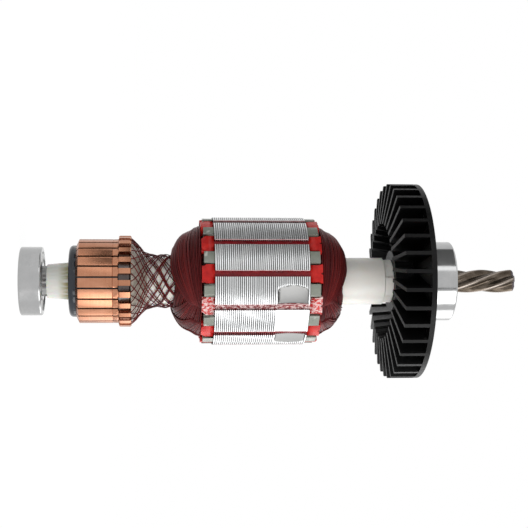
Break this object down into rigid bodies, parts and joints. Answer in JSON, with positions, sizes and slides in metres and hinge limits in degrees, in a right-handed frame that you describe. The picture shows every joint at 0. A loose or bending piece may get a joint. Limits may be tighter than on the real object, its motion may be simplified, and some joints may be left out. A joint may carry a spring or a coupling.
{
  "type": "motor armature",
  "caption": "Wound motor armature with a copper commutator, cooling fan, helical pinion and a ball bearing at each end.",
  "frame": {"origin": "centre of the rear bearing's outer face, on which the armature stands", "axes": "+Z along the shaft, from the rear bearing by the commutator to the pinion; +X and +Y across the shaft"},
  "size_m": [0.0638, 0.0638, 0.1613],
  "materials": {
    "shaft_steel": "worn, browned",
    "bearing_steel": "ground, bright",
    "ball_steel": "polished",
    "cage_nylon": "moulded",
    "shield_steel": "pressed sheet, bright",
    "milky_sleeve": "translucent, satin",
    "phenolic": "moulded, satin",
    "copper": "turned copper",
    "enamelled_wire": "varnished copper wire",
    "laminations": "stacked sheet edges, turned",
    "insulator_fibre": "resin coated",
    "red_fibre": "vulcanised fibre, satin",
    "cream_plastic": "moulded, satin",
    "black_plastic": "moulded, satin"
  },
  "bodies": {
    "rotor": {"shaft": "shaft_steel", "rear_inner_ring": "bearing_steel", "front_inner_ring": "bearing_steel", "rear_sleeve": "milky_sleeve", "commutator_hub": "phenolic", "lead_wires": "enamelled_wire", "core_stack": "laminations", "rear_insulator": "insulator_fibre", "front_insulator": "insulator_fibre", "winding": "enamelled_wire", "insulating_tube": "cream_plastic", "fan": "black_plastic", "commutator_bar_1": "copper", "commutator_bar_2": "copper", "commutator_bar_3": "copper", "commutator_bar_4": "copper", "commutator_bar_5": "copper", "commutator_bar_6": "copper", "commutator_bar_7": "copper", "commutator_bar_8": "copper", "commutator_bar_9": "copper", "commutator_bar_10": "copper", "commutator_bar_11": "copper", "commutator_bar_12": "copper", "commutator_bar_13": "copper", "commutator_bar_14": "copper", "commutator_bar_15": "copper", "commutator_bar_16": "copper", "commutator_bar_17": "copper", "commutator_bar_18": "copper", "commutator_bar_19": "copper", "commutator_bar_20": "copper", "commutator_bar_21": "copper", "commutator_bar_22": "copper", "commutator_bar_23": "copper", "commutator_bar_24": "copper", "slot_liner_1": "red_fibre", "slot_liner_2": "red_fibre", "slot_liner_3": "red_fibre", "slot_liner_4": "red_fibre", "slot_liner_5": "red_fibre", "slot_liner_6": "red_fibre", "slot_liner_7": "red_fibre", "slot_liner_8": "red_fibre", "slot_liner_9": "red_fibre", "slot_liner_10": "red_fibre", "slot_liner_11": "red_fibre", "slot_liner_12": "red_fibre"},
    "rear_bearing_outer": {"rear_outer_ring": "bearing_steel", "rear_outside_shield": "shield_steel", "rear_inside_shield": "shield_steel"},
    "rear_bearing_cage": {"rear_cage": "cage_nylon", "rear_balls": "ball_steel"},
    "front_bearing_outer": {"front_outer_ring": "bearing_steel", "front_outside_shield": "shield_steel", "front_inside_shield": "shield_steel"},
    "front_bearing_cage": {"front_cage": "cage_nylon", "front_balls": "ball_steel"}
  },
  "joints": [
    {"name": "rear_bearing_turn", "type": "hinge", "parent": "rotor", "child": "rear_bearing_outer", "pos_m": [0, 0, 0.0035], "axis": [0, 0, 1], "continuous": true},
    {"name": "rear_cage_turn", "type": "hinge", "parent": "rotor", "child": "rear_bearing_cage", "pos_m": [0, 0, 0.0035], "axis": [0, 0, 1], "continuous": true},
    {"name": "front_bearing_turn", "type": "hinge", "parent": "rotor", "child": "front_bearing_outer", "pos_m": [0, 0, 0.1356], "axis": [0, 0, 1], "continuous": true},
    {"name": "front_cage_turn", "type": "hinge", "parent": "rotor", "child": "front_bearing_cage", "pos_m": [0, 0, 0.1356], "axis": [0, 0, 1], "continuous": true}
  ],
  "couplings": [
    {"joint": "rear_cage_turn", "follows": "rear_bearing_turn", "ratio": 0.6323},
    {"joint": "front_cage_turn", "follows": "front_bearing_turn", "ratio": 0.6322}
  ]
}
